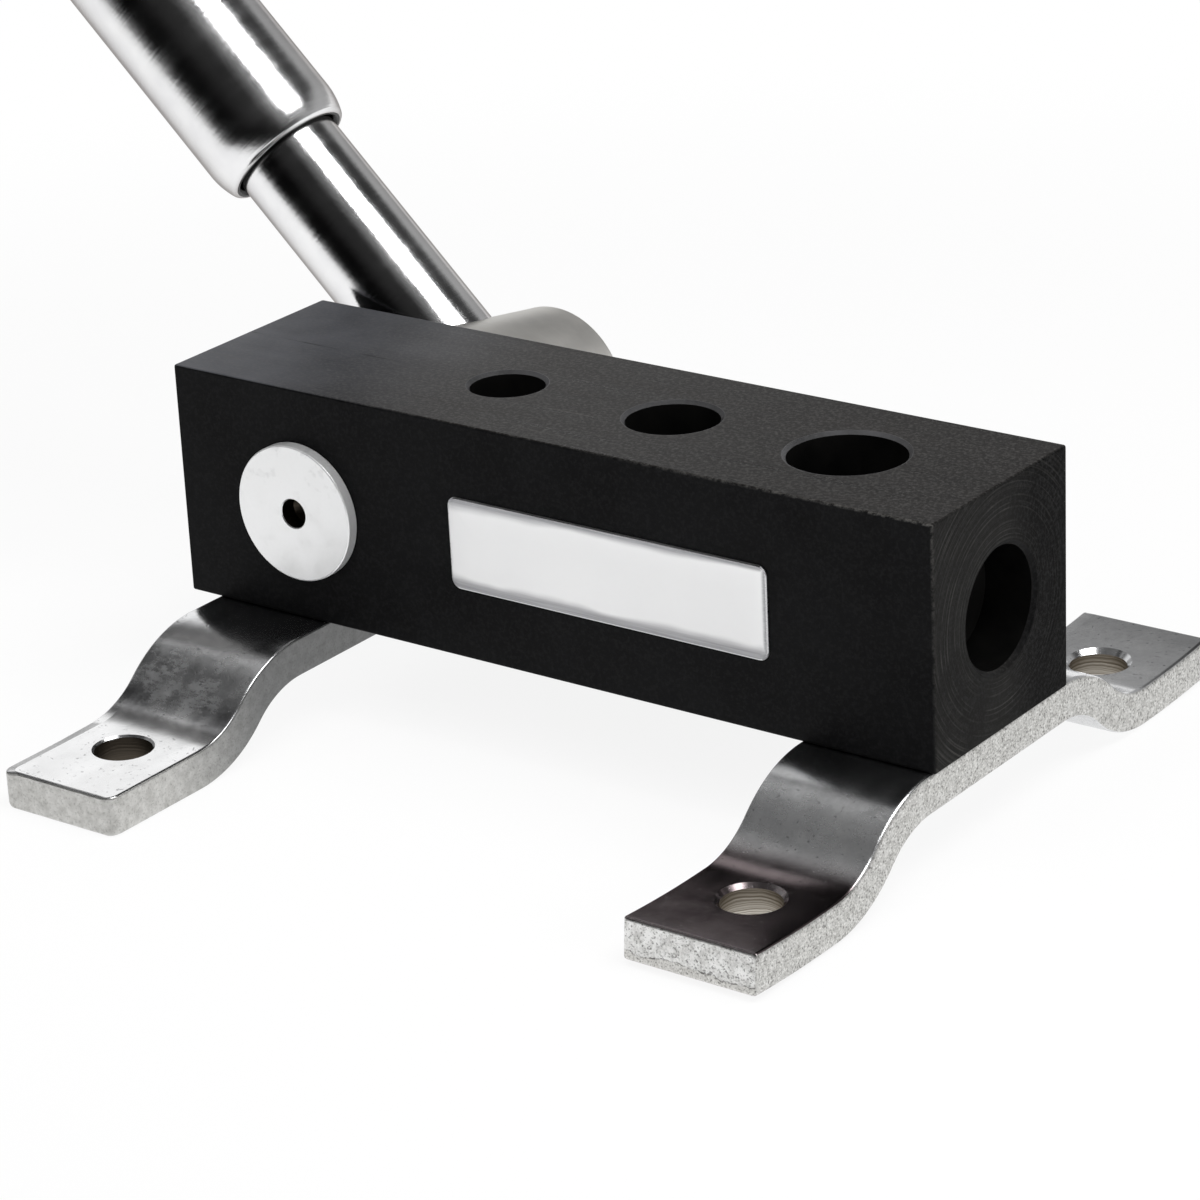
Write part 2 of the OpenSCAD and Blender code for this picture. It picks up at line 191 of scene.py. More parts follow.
def close_rings(form, rings):
    """Faces through a row of rings, closed by one face at each end."""
    for lower, upper in zip(rings, rings[1:]):
        bridge(form, lower, upper)
    form.faces.new(rings[0])
    form.faces.new(rings[-1])
    bmesh.ops.recalc_face_normals(form, faces=form.faces)


def along(axis, origin):
    """Matrix that turns +Z to axis and moves the origin."""
    turn = Vector((0, 0, 1)).rotation_difference(Vector(axis)).to_matrix().to_4x4()
    return Matrix.Translation(Vector(origin)) @ turn


def on_crank(depth):
    """Matrix with +Z along the crank's axis, from that depth to the back."""
    return along((0, 1, 0), (crank.x, depth, crank.z))


def on_lever(distance):
    """Matrix with +Z along the lever, that far from the crank's axis."""
    return along(lever, Vector((crank.x, ROD_Y, crank.z)) + lever * distance)


def brick(low, high, bevel=0.0, steps=3):
    """Block between two corners, with its edges rounded."""
    form = bmesh.new()
    bmesh.ops.create_cube(form, size=1)
    size = Vector(high) - Vector(low)
    middle = (Vector(high) + Vector(low)) / 2
    form.transform(Matrix.Translation(middle) @ Matrix.Diagonal((*size, 1)))
    if bevel:
        bmesh.ops.bevel(form, geom=form.edges[:], offset=bevel, segments=steps, profile=0.5,
                        affect="EDGES", clamp_overlap=True)
    return form


def to_object(name, form):
    """Object in metres from a form in millimetres."""
    form.transform(Matrix.Scale(MM, 4))
    mesh = bpy.data.meshes.new(name)
    form.to_mesh(mesh)
    form.free()
    thing = bpy.data.objects.new(name, mesh)
    bpy.context.scene.collection.objects.link(thing)
    return thing


def carve(thing, form, how="DIFFERENCE"):
    """Cuts an object with a form in millimetres and keeps the result as its mesh."""
    tool = to_object("carving_tool", form)
    cut = thing.modifiers.new("carve", "BOOLEAN")
    cut.object = tool
    cut.operation = how
    cut.solver = "EXACT"
    bpy.context.view_layer.update()
    evaluated = thing.evaluated_get(bpy.context.evaluated_depsgraph_get())
    carved = bpy.data.meshes.new_from_object(evaluated)
    thing.modifiers.clear()
    thing.data = carved
    bpy.data.objects.remove(tool)


def smooth(thing, limit):
    """Smooth shading with sharp edges above the limit, and normals weighted by face area."""
    form = bmesh.new()
    form.from_mesh(thing.data)
    for face in form.faces:
        face.smooth = True
    for edge in form.edges:
        if len(edge.link_faces) == 2:
            edge.smooth = edge.calc_face_angle(0) < math.radians(limit)
    form.to_mesh(thing.data)
    form.free()
    weighted = thing.modifiers.new("weighted_normals", "WEIGHTED_NORMAL")
    weighted.keep_sharp = True


def settle(thing, body, node, materials, limit=34):
    """Smooths a piece, gives it its materials and body, and hides the CAD node that it stands for."""
    smooth(thing, limit)
    thing.data.materials.clear()
    for material in materials:
        thing.data.materials.append(material)
    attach(thing, body)
    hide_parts(node)


# Node helpers for the materials and the world

class Graph:
    """A node tree with short calls for the nodes that it needs."""

    def __init__(self, tree, coords):
        self.tree = tree
        self.place = self.node("ShaderNodeTexCoord").outputs[coords]

    def node(self, kind, inputs=None, **settings):
        """New node with its settings and inputs."""
        made = self.tree.nodes.new(kind)
        for key, value in settings.items():
            setattr(made, key, value)
        self.feed(made, inputs or {})
        return made

    def feed(self, node, inputs):
        """Links each input to the socket given for it, or sets it to the value."""
        for name, value in inputs.items():
            if isinstance(value, bpy.types.NodeSocket):
                self.tree.links.new(value, node.inputs[name])
            else:
                node.inputs[name].default_value = value

    def show(self, output, first, share, second):
        """Shows the first shader, and the second one by its share."""
        mixed = self.node("ShaderNodeMixShader", {"Fac": share, 1: first, 2: second})
        self.feed(self.tree.nodes[output], {"Surface": mixed.outputs["Shader"]})

    def span(self, value, low, high, to_low=0.0, to_high=1.0, kind="LINEAR"):
        """Value between low and high, moved to between to_low and to_high and kept there."""
        inputs = {"Value": value, "From Min": low, "From Max": high, "To Min": to_low, "To Max": to_high}
        return self.node("ShaderNodeMapRange", inputs, interpolation_type=kind).outputs["Result"]

    def span_mm(self, value, low, high, *rest):
        """Span whose low and high are in millimetres."""
        return self.span(value, low * MM, high * MM, *rest)

    def math(self, how, a, b=0.0):
        return self.node("ShaderNodeMath", {0: a, 1: b}, operation=how).outputs["Value"]

    def product(self, *factors):
        result = factors[0]
        for factor in factors[1:]:
            result = self.math("MULTIPLY", result, factor)
        return result

    def axis(self, which, place=None):
        return self.node("ShaderNodeSeparateXYZ", {"Vector": place or self.place}).outputs[which]

    def seen_white(self):
        """One for rays from the camera, and for mirrored and refracted rays, as two numbers."""
        path = self.node("ShaderNodeLightPath").outputs
        return path["Is Camera Ray"], self.math("MAXIMUM", path["Is Glossy Ray"], path["Is Transmission Ray"])


class Paint(Graph):
    """A material with one main shader."""

    def __init__(self, name, metallic):
        self.material = bpy.data.materials.new(name)
        self.material.use_nodes = True
        super().__init__(self.material.node_tree, "Object")
        self.shader = self.tree.nodes["Principled BSDF"]
        self.set("Metallic", metallic)

    def set(self, socket, value):
        self.feed(self.shader, {socket: value})

    def tint(self, value, low, high, dark, light):
        """Base colour that goes from dark to light as the value goes from low to high."""
        self.set("Base Color", self.mix(self.span(value, low, high), dark, light))

    def rough(self, value, first, second):
        """Roughness that goes from first to second with a noise."""
        self.set("Roughness", self.span(value, 0.3, 0.7, first, second))

    def stretch(self, scale):
        return self.node("ShaderNodeMapping", {"Vector": self.place, "Scale": scale}).outputs["Vector"]

    def noise(self, scale, detail=4, rough=0.5, place=None):
        inputs = {"Vector": place or self.place, "Scale": scale, "Detail": detail, "Roughness": rough}
        return self.node("ShaderNodeTexNoise", inputs).outputs["Fac"]

    def lines(self, value, scale, detail=3, rough=0.6):
        """Noise along one number, for turning and grinding lines."""
        inputs = {"W": value, "Scale": scale, "Detail": detail, "Roughness": rough}
        return self.node("ShaderNodeTexNoise", inputs, noise_dimensions="1D").outputs["Fac"]

    def mix(self, factor, first, second):
        """Colour that goes from first to second with the factor."""
        a, b = (c if isinstance(c, bpy.types.NodeSocket) else (*c, 1) for c in (first, second))
        return self.node("ShaderNodeMix", {0: factor, 6: a, 7: b}, data_type="RGBA").outputs[2]

    def between(self, factor, first, second):
        """Number that goes from first to second with the factor."""
        return self.node("ShaderNodeMix", {0: factor, 2: first, 3: second}, data_type="FLOAT").outputs[0]

    def dot(self, vector):
        inputs = {0: self.place, 1: vector}
        return self.node("ShaderNodeVectorMath", inputs, operation="DOT_PRODUCT").outputs["Value"]

    def distance(self, point, scale):
        """Distance from a point in millimetres, with axes left out where scale is 0."""
        inputs = {0: self.stretch(scale), 1: tuple(c * MM * s for c, s in zip(point, scale))}
        return self.node("ShaderNodeVectorMath", inputs, operation="DISTANCE").outputs["Value"]

    def facing(self):
        """Surface normal in the object's own axes."""
        return self.node("ShaderNodeTexCoord").outputs["Normal"]

    def bump(self, height, strength, depth, under=None):
        """Bump of that depth in millimetres, on top of the one under it."""
        inputs = {"Height": height, "Strength": strength, "Distance": depth * MM}
        if under is not None:
            inputs["Normal"] = under
        bumped = self.node("ShaderNodeBump", inputs).outputs["Normal"]
        self.set("Normal", bumped)
        return bumped


# Materials

def top_tone_and_painted_sheen(p, cloud, smear):
    """Colour of the block's top: a painted sheen, cool and pale, at its left end, and its own browner tone to
    the right.
    """
    pale_to = block_low.x + 8
    brown_from = block_low.x + 80
    cool = p.mix(p.span(cloud, 0.35, 0.68), (0.058, 0.060, 0.067), (0.088, 0.0905, 0.101))
    brown = p.mix(p.span(smear, 0.35, 0.68), (0.009, 0.0081, 0.0076), (0.018, 0.0163, 0.0156))
    return p.mix(p.span_mm(p.axis("X"), pale_to, brown_from, 0, 1, EASE), cool, brown)


def worn_edges(p, x, y, z):
    """Share of bare steel on the front edges by the bored end."""
    outer, inner = 0.3, 0.7
    worn_from = block_low.x + 110
    worn_above = block_low.z + 10
    near_front = p.span_mm(y, front_y + inner, front_y + outer)
    near_top = p.span_mm(z, block_top - inner, block_top - outer)
    near_end = p.span_mm(x, block_high.x - inner, block_high.x - outer)
    rightward = p.span_mm(x, worn_from, block_high.x, 0.0, 0.9)
    high_up = p.span_mm(z, worn_above, block_top, 0.05, 0.5)
    top_edge = p.product(near_front, near_top, rightward)
    end_edge = p.product(near_front, near_end, high_up)
    chipped = p.span(p.noise(900, 5, 0.75), 0.42, 0.68)
    return p.product(p.math("MAXIMUM", top_edge, end_edge), chipped)


def hole_rim(p, hole_x, bore, z):
    """Share of the lighter rim round the top of one pipe hole."""
    rim = bore / 2 + HOLE_CHAMFER
    from_axis = p.distance((hole_x, 0, 0), (1, 1, 0))
    near_rim = p.span_mm(from_axis, rim + 0.25, rim + 0.05)
    return p.product(near_rim, p.span_mm(z, block_top - 6, block_top - 2))


def black_oxide(name, specular):
    """Blackened steel: fine grain, a top with a painted sheen at its left end, a turned end face with painted
    shade and painted cut highlights, edges worn lighter, and lighter rims round the pipe holes.
    """
    shade_run = 16
    line_half = 0.12
    p = Paint(name, 0.0)
    p.set("Specular IOR Level", specular)
    x, y, z = (p.axis(letter) for letter in "XYZ")
    normal = p.facing()
    up = p.span(p.axis("Z", normal), 0.6, 0.9)
    right = p.span(p.axis("X", normal), 0.6, 0.9)
    cloud = p.noise(38, 5, 0.6)
    grain = p.noise(1900, 3, 0.65)
    smear = p.noise(1, 4, 0.6, p.stretch((9, 160, 160)))
    side = p.mix(p.span(cloud, 0.35, 0.7), (0.0028, 0.0028, 0.0031), (0.0068, 0.007, 0.0075))
    end = p.mix(p.span(cloud, 0.3, 0.7), (0.006, 0.0059, 0.0056), (0.014, 0.0137, 0.013))
    # Painted shade: the end face darkens towards the back
    shaded = p.span_mm(y, 0, shade_run, 0, 0.85, EASE)
    end = p.mix(shaded, end, (0.001, 0.001, 0.001))
    # The top's colour holds a painted sheen at its left end
    colour = p.mix(right, p.mix(up, side, top_tone_and_painted_sheen(p, cloud, smear)), end)
    coarse = p.noise(1150, 3, 0.7)
    fleck = p.mix(up, (0.022, 0.022, 0.0225), (0.108, 0.106, 0.102))
    speckled = p.product(p.span(coarse, 0.46, 0.66), p.between(up, p.between(right, 0.26, 0.5), 0.38))
    colour = p.mix(speckled, colour, fleck)
    scratch = p.span(p.noise(1, 2, 0.4, p.stretch((30, 520, 520))), 0.70, 0.74)
    colour = p.mix(p.product(scratch, up, 0.3), colour, (0.07, 0.065, 0.06))
    # A scribed line runs through the pipe holes
    on_line = p.span_mm(p.math("ABSOLUTE", y), line_half, 2 * line_half, 1, 0)
    faint = p.span(p.noise(90, 2), 0.4, 0.6)
    colour = p.mix(p.product(on_line, up, faint, 0.8), colour, (0.004, 0.004, 0.004))
    colour = p.mix(worn_edges(p, x, y, z), colour, (0.13, 0.126, 0.12))
    uneven = p.span(cloud, 0.35, 0.6, 0.25, 0.75)
    for hole_x, bore in PIPE_HOLES:
        colour = p.mix(p.product(hole_rim(p, hole_x, bore, z), uneven), colour, (0.1, 0.1, 0.104))
    # Facing cuts run in rings about the bore on the end face; their lighter rings are painted highlights,
    # dimmed towards the back by the painted shade
    radius = p.distance((0, 0, ram_z), (0, 1, 1))
    cuts = p.lines(radius, 1100, 4, 0.75)
    lit = p.between(shaded, 0.5, 0.12)
    painted_cut_highlight = p.product(p.span(cuts, 0.5, 0.68), right, p.span(p.noise(85, 5, 0.65), 0.4, 0.66), lit)
    p.set("Base Color", p.mix(painted_cut_highlight, colour, (0.085, 0.083, 0.078)))
    top_rough = p.span(smear, 0.3, 0.7, 0.26, 0.38)
    p.set("Roughness", p.between(up, p.span(cloud, 0.3, 0.7, 0.4, 0.55), top_rough))
    under = p.bump(p.product(cuts, right), 1.0, 0.07)
    grooves = p.math("ADD", p.product(grain, 0.5), p.product(smear, up, 0.6))
    p.bump(grooves, 0.4, 0.05, under)
    return p.material


def black_bore():
    """Oiled black walls of the bores, with turned rings, which stay dark inside; inside the handle tube the
    same black is painted shade.
    """
    p = Paint("black_bore", 0.0)
    p.set("Specular IOR Level", 0.12)
    rings = p.lines(p.math("ADD", p.axis("X"), p.axis("Z")), 1500, 3, 0.6)
    cloud = p.noise(90, 4, 0.6)
    p.tint(cloud, 0.3, 0.7, (0.0022, 0.0022, 0.0022), (0.006, 0.0058, 0.0055))
    p.rough(rings, 0.28, 0.42)
    p.bump(rings, 0.3, 0.04)
    return p.material


def zinc_face(name, dark, light, foot_reflection, smudge_and_shade_share):
    """Bright zinc on a strap's rolled faces: clouded, mottled and pitted; its front foot takes a painted
    reflection, and its lower bends smudges with painted shade.
    """
    foot_reflection_from = STRAP_THICK + 3.7
    foot_reflection_full = STRAP_THICK + 0.9
    front_from = -40
    front_full = -60
    bend_shade_from = 18
    bend_shade_full = 13
    pit_and_shade_grey = (0.24, 0.24, 0.25)
    p = Paint(name, 1.0)
    height = p.axis("Z")
    lean = p.math("ABSOLUTE", p.axis("Y", p.facing()))
    patch = p.noise(75, 5, 0.62)
    mottle = p.noise(620, 4, 0.65)
    streak = p.noise(1, 3, 0.5, p.stretch((260, 26, 26)))
    pits = p.span(p.noise(900, 2, 0.5), 0.66, 0.74)
    colour = p.mix(p.span(patch, 0.38, 0.66), dark, light)
    colour = p.mix(p.span(mottle, 0.48, 0.74, 0, 0.35), colour, (0.6, 0.605, 0.62))
    # Painted reflection: the front foot's own colour, dark and reddish on the right strap, pale on the left
    on_foot = p.span_mm(height, foot_reflection_from, foot_reflection_full)
    in_front = p.span_mm(p.axis("Y"), front_from, front_full)
    colour = p.mix(p.product(on_foot, in_front), colour, foot_reflection)
    # The lower bends carry blotchy smudges that are also painted shade, darker where they lean and lie low
    tilted = p.span(lean, 0.1, 0.35)
    lowered = p.span_mm(height, bend_shade_from, bend_shade_full, 0.2, 1)
    smudge_and_shade = p.product(p.span(p.noise(42, 5, 0.68), 0.3, 0.56), tilted, lowered, smudge_and_shade_share)
    colour = p.mix(smudge_and_shade, colour, pit_and_shade_grey)
    # Frosted patches on the steep part of the bends scatter light
    cloudy_frost = p.span(p.noise(95, 3, 0.55), 0.42, 0.68, kind=EASE)
    fine_frost = p.span(p.noise(1, 5, 0.65, p.stretch((420, 900, 900))), 0.36, 0.66)
    frosted = p.product(cloudy_frost, fine_frost, p.span(lean, 0.28, 0.5))
    colour = p.mix(p.product(frosted, 0.5), colour, (0.86, 0.865, 0.875))
    p.set("Base Color", p.mix(p.product(pits, 0.55), colour, pit_and_shade_grey))
    cloudy = p.math("ADD", p.span(patch, 0.35, 0.7, 0.0, 0.07), p.span(streak, 0.3, 0.7, 0.0, 0.04))
    p.set("Roughness", p.between(p.product(frosted, 0.8), p.math("ADD", cloudy, 0.15), 0.6))
    under = p.bump(p.noise(90, 2, 0.4), 0.5, 0.16)
    fine = p.math("ADD", p.product(streak, 0.5), mottle)
    p.bump(p.math("SUBTRACT", fine, pits), 0.22, 0.06, under)
    return p.material


def zinc_edge(name, torn_share, side_shade_share):
    """Sheared edges of a strap: pale and speckled; its ends may be torn, and its sides darken with painted
    shade by the block.
    """
    side_shade_from = -92
    side_shade_full = -50
    line_wander = 0.9
    p = Paint(name, 1.0)
    speck = p.noise(1900, 4, 0.7)
    blotch = p.noise(420, 4, 0.65)
    at_end = p.span(p.math("ABSOLUTE", p.axis("Y", p.facing())), 0.75, 0.9)
    colour = p.mix(p.span(blotch, 0.35, 0.65), (0.54, 0.535, 0.515), (0.72, 0.715, 0.695))
    torn = p.mix(p.span(blotch, 0.4, 0.6), (0.7, 0.695, 0.68), (1.0, 1.0, 0.99))
    ending = p.product(at_end, torn_share)
    colour = p.mix(ending, colour, torn)
    # Painted shade: the sides darken towards the block
    side_shade = p.span_mm(p.axis("Y"), side_shade_from, side_shade_full, 0, side_shade_share, EASE)
    colour = p.mix(side_shade, colour, (0.1, 0.105, 0.11))
    # Below the break line an end is smoother and greyer, and the line itself is dark
    wander = p.span(p.noise(210, 3, 0.6), 0.3, 0.7, -line_wander * MM, line_wander * MM)
    over_line = p.math("SUBTRACT", p.axis("Z"), p.math("ADD", wander, BREAK_LINE * MM))
    below = p.span_mm(over_line, 0.1, -0.1)
    colour = p.mix(p.product(below, ending, 0.6), colour, (0.62, 0.605, 0.57))
    on_line = p.span_mm(p.math("ABSOLUTE", over_line), 0.06, 0.26, 1, 0)
    broken = p.span(p.noise(600, 3), 0.42, 0.55)
    colour = p.mix(p.product(on_line, ending, broken, 0.85), colour, (0.1, 0.095, 0.09))
    dots = p.product(p.span(speck, 0.38, 0.45, 0.8, 0), max(torn_share, 0.35))
    glints = p.product(p.span(speck, 0.55, 0.62, 0, 0.7), torn_share)
    colour = p.mix(glints, colour, (0.96, 0.955, 0.94))
    p.set("Base Color", p.mix(dots, colour, (0.13, 0.125, 0.12)))
    p.rough(speck, 0.58, 0.42)
    under = p.bump(blotch, 0.5, 0.12)
    p.bump(speck, 0.7, 0.07, under)
    return p.material


def drilled(name, dark, light):
    """Walls of drilled holes, with the drill's fine marks, darker upwards from the bench."""
    dark_from = 1.5
    dark_full = 7.5
    wander = 0.5
    p = Paint(name, 1.0)
    uneven = p.math("ADD", p.axis("Z"), p.span(p.noise(150, 2), 0.3, 0.7, 0, wander * MM))
    marks = p.lines(uneven, 2100, 3, 0.65)
    rising = p.span_mm(p.axis("Z"), dark_from, dark_full, 0, 0.75)
    p.set("Base Color", p.mix(rising, p.mix(p.span(marks, 0.38, 0.6), dark, light), dark))
    p.rough(marks, 0.5, 0.34)
    p.bump(marks, 0.5, 0.08)
    return p.material


def polished(name, rough_low, rough_high, ring_depth):
    """Polished lever steel with rings left round it by the polishing belt."""
    p = Paint(name, 1.0)
    p.set("Specular Tint", (0.35, 0.33, 0.32, 1))
    height = p.dot(tuple(lever))
    rings = p.lines(height, 700, 5, 0.7)
    broad = p.lines(height, 160, 3, 0.6)
    haze = p.noise(70, 4, 0.6)
    p.tint(haze, 0.35, 0.7, (0.88, 0.88, 0.89), (0.97, 0.97, 0.972))
    p.set("Roughness", p.span(p.math("ADD", broad, haze), 0.7, 1.3, rough_low, rough_high))
    flecks = p.noise(480, 3, 0.6)
    under = p.bump(rings, 1.0, ring_depth)
    p.bump(flecks, 0.8, 0.035, under)
    return p.material


def satin_disc():
    """Tumbled bright disc: pale, satin, faintly clouded and ringed, with a smoother rim."""
    p = Paint("satin_disc", 1.0)
    cloud = p.noise(130, 4, 0.6)
    stain = p.span(p.noise(260, 3, 0.6), 0.55, 0.72)
    colour = p.mix(p.span(cloud, 0.35, 0.65), (0.90, 0.905, 0.91), (0.97, 0.975, 0.975))
    upper = p.span_mm(p.axis("Z"), crank.z, crank.z + disc_r, 0.1, 0.5)
    p.set("Base Color", p.mix(p.product(stain, upper), colour, (0.5, 0.5, 0.51)))
    radius = p.distance(crank, (1, 0, 1))
    rim = p.span_mm(radius, disc_r - DISC_ROUND - 0.1, disc_r - DISC_ROUND + 0.1)
    p.set("Metallic", p.between(rim, 1.0, 0.65))
    p.set("Roughness", p.between(rim, p.span(cloud, 0.3, 0.7, 0.3, 0.42), 0.36))
    rings = p.lines(radius, 2200, 3, 0.7)
    under = p.bump(rings, 0.12, 0.03)
    p.bump(p.noise(2200, 2), 0.15, 0.02, under)
    return p.material


def plate_field():
    """White plate under clear domed resin, left bare; its border fades to silver grey."""
    low_start, low_width = 1.6, 4.6
    high_start, high_left, high_right = 0.6, 3.4, 1.7
    right_start, right_width = 0.5, 1.4
    p = Paint("plate_field", 0.0)
    p.set("Coat Weight", 0.25)
    p.set("Coat Roughness", 0.08)
    tint = p.noise(60, 3, 0.5)
    field = p.mix(p.span(tint, 0.2, 0.8), (0.915, 0.917, 0.922), (0.94, 0.941, 0.943))
    height = p.axis("Z")
    across = p.axis("X")
    uneven = p.span(p.noise(38, 2, 0.5), 0.35, 0.65, 0.7, 1.25)
    low_edge = p.math("SUBTRACT", height, plate_low.z * MM)
    high_edge = p.math("SUBTRACT", plate_high.z * MM, height)
    right_edge = p.math("SUBTRACT", plate_high.x * MM, across)
    low_end = p.product(uneven, low_width * MM)
    high_width = p.span(across, plate_low.x * MM, plate_high.x * MM, high_left * MM, high_right * MM)
    high_end = p.product(uneven, high_width)
    low_band = p.span(low_edge, low_start * MM, low_end, 1, 0, EASE)
    high_band = p.span(high_edge, high_start * MM, high_end, 1, 0, EASE)
    right_band = p.span_mm(right_edge, right_start, right_width, 1, 0, EASE)
    brush = p.noise(1, 3, 0.6, p.stretch((80, 2600, 2600)))
    silver = p.mix(p.span(brush, 0.3, 0.7), (0.29, 0.29, 0.305), (0.44, 0.44, 0.455))
    border = p.math("MAXIMUM", low_band, p.math("MAXIMUM", high_band, right_band))
    p.set("Base Color", p.mix(border, field, silver))
    p.rough(p.noise(60, 2), 0.28, 0.34)
    p.bump(p.noise(120, 2), 0.05, 0.01)
    return p.material


def plate_rim():
    """Pressed silver edge of the name plate."""
    p = Paint("plate_rim", 1.0)
    brush = p.noise(1, 3, 0.6, p.stretch((60, 2600, 2600)))
    p.tint(brush, 0.3, 0.7, (0.6, 0.605, 0.62), (0.78, 0.785, 0.795))
    p.rough(brush, 0.24, 0.38)
    p.bump(p.noise(400, 3), 0.1, 0.04)
    return p.material


def turned_steel(name, base, rough, across):
    """Turned steel with tool lines square to the direction across."""
    p = Paint(name, 1.0)
    lines = p.lines(p.dot(across), 1500, 4, 0.7)
    cloud = p.noise(55, 4, 0.6)
    dark = tuple(c * 0.76 for c in base)
    p.tint(cloud, 0.3, 0.7, dark, base)
    p.rough(cloud, rough - 0.07, rough + 0.07)
    p.bump(lines, 0.35, 0.05)
    return p.material


def plated(name, base, rough):
    """Plated or plain small steel parts, slightly clouded and pitted."""
    p = Paint(name, 1.0)
    cloud = p.noise(320, 4, 0.6)
    dark = tuple(c * 0.7 for c in base)
    p.tint(cloud, 0.35, 0.65, dark, base)
    p.rough(cloud, rough - 0.08, rough + 0.1)
    p.bump(p.noise(1800, 3), 0.25, 0.03)
    return p.material


def moulded_plastic():
    """Black moulded end plug with a fine spark-eroded grain."""
    p = Paint("moulded_plastic", 0.0)
    grain = p.noise(2400, 3, 0.6)
    cloud = p.noise(120, 3)
    p.tint(cloud, 0.3, 0.7, (0.012, 0.012, 0.013), (0.022, 0.022, 0.024))
    p.rough(grain, 0.38, 0.52)
    p.bump(grain, 0.3, 0.04)
    return p.material


BLACK = black_oxide("black_oxide", 0.06)
BLACK_END = black_oxide("black_end", 0.02)
BORE_BLACK = black_bore()
# Painted reflections for the straps' front feet
PALE_FOOT_REFLECTION = (0.965, 0.967, 0.972)
BROWN_FOOT_REFLECTION = (0.3, 0.245, 0.25)
# The last number of each zinc face is its share of smudges and painted shade on the lower bends
ZINC_FACES = {
    "left_strap": zinc_face("zinc_left", (0.86, 0.865, 0.875), (0.95, 0.955, 0.96), PALE_FOOT_REFLECTION, 0.8),
    "right_strap": zinc_face("zinc_right", (0.80, 0.805, 0.815), (0.93, 0.935, 0.94), BROWN_FOOT_REFLECTION, 0.3)}
# The left strap's sides take painted shade by the block
ZINC_EDGES = {
    "left_strap": zinc_edge("sheared_left", 0.0, 0.75),
    "right_strap": zinc_edge("sheared_right", 1.0, 0.0)}
DRILLED = {
    "left_strap": drilled("drilled_brown", (0.09, 0.076, 0.06), (0.14, 0.12, 0.097)),
    "right_strap": drilled("drilled_zinc", (0.22, 0.19, 0.15), (0.8, 0.76, 0.69))}
ROD_STEEL = polished("rod_steel", 0.10, 0.19, 0.035)
TUBE_STEEL = polished("tube_steel", 0.13, 0.23, 0.045)
DISC_STEEL = satin_disc()
FIELD = plate_field()
RIM = plate_rim()
HUB_STEEL = turned_steel("hub_steel", (0.92, 0.9, 0.86), 0.46, (0, 1, 0))
SHAFT_STEEL = turned_steel("shaft_steel", (0.55, 0.55, 0.56), 0.28, (0, 1, 0))
FASTENER = plated("zinc_fastener", (0.62, 0.63, 0.65), 0.3)
BRONZE = plated("bearing_bronze", (0.62, 0.43, 0.2), 0.35)
PLASTIC = moulded_plastic()


# Pieces

def make_block():
    """Black block with the ram's bore, the crank's cross bore and the pipe holes."""
    edge = 0.6
    mouth = 1
    sink = 0.3
    over = 2
    rind = 1.2
    block = to_object("block", brick(block_low, block_high, edge))
    r = RAM_BORE_R
    left = ram_low.x - 0.2
    length = block_high.x - left
    ram_way = [(0, 0), (r, 0), (r, length - mouth), (r + mouth + over, length + over), (0, length + over)]
    carve(block, lathe(ram_way, along((1, 0, 0), (left, 0, ram_z))))
    r = CROSS_BORE_R
    depth = back_y - front_y + 2 * over
    cross = [(0, 0), (r + sink + over, 0), (r, over + sink), (r, depth), (0, depth)]
    carve(block, lathe(cross, on_crank(front_y - over)))
    rise = block_top - ram_z
    for x, bore in PIPE_HOLES:
        r = bore / 2
        rim = r + HOLE_CHAMFER + over
        hole = [(0, 0), (r, 0), (r, rise - HOLE_CHAMFER), (rim, rise + over), (0, rise + over)]
        carve(block, lathe(hole, along((0, 0, 1), (x, 0, ram_z))))
    settle(block, "frame", "body_block", [BLACK, BORE_BLACK, BLACK_END])
    for face in block.data.polygons:
        at = face.center / MM
        inside_x = block_low.x + rind < at.x < block_high.x - rind
        inside_y = front_y + rind < at.y < back_y - rind
        inside_z = ride + rind < at.z < block_top - rind
        if inside_x and inside_y and inside_z:
            face.material_index = 1
        elif face.normal.x > 0.9 and at.x > block_high.x - rind:
            face.material_index = 2


def strap_path():
    """Stations of one half of a strap: distance from its middle, height and upward normal."""
    angle = 2 * math.atan(STRAP_RISE / BEND_RUN)
    radius = BEND_RUN / (2 * math.sin(angle))
    middle = ride - STRAP_THICK / 2
    flat_steps = 6
    steps = 22
    stations = [(FLAT_HALF * k / flat_steps, middle, 0, 1) for k in range(flat_steps)]
    for k in range(steps + 1):
        a = math.pi / 2 - angle * k / steps
        out, up = math.cos(a), math.sin(a)
        stations.append((FLAT_HALF + radius * out, middle - radius + radius * up, out, up))
    bend_end = FLAT_HALF + BEND_RUN
    for k in range(1, steps + 1):
        a = 1.5 * math.pi - angle * (1 - k / steps)
        out, up = math.cos(a), math.sin(a)
        stations.append((bend_end + radius * out, STRAP_THICK / 2 + radius + radius * up, -out, -up))
    return stations


def lifted(station, half_length, toe_lift):
    """Station raised towards the toe, its normal leaning back by the slope of the lift."""
    d, z, n, u = station
    start = half_length - TOE_SHARE * FOOT_HOLE_INSET
    run = max(0, d - start) / (half_length - start)
    slope = 2 * toe_lift * run / (half_length - start)
    return d, z + toe_lift * run ** 2, n - slope, u


def strap_section(half_width, half_thick, rounds, drop):
    """Outline of the strap's section, as (x, up): soft corners, and a sloped shoulder at its left."""
    w, t = half_width, half_thick
    left, right = rounds
    shoulder = SHOULDER_RUN - w
    corners = [(-w, -t, left), (w, -t, right), (w, t, right), (shoulder, t, left), (-w, t - drop, left / 2)]
    return rounded(corners, 4, closed=True)


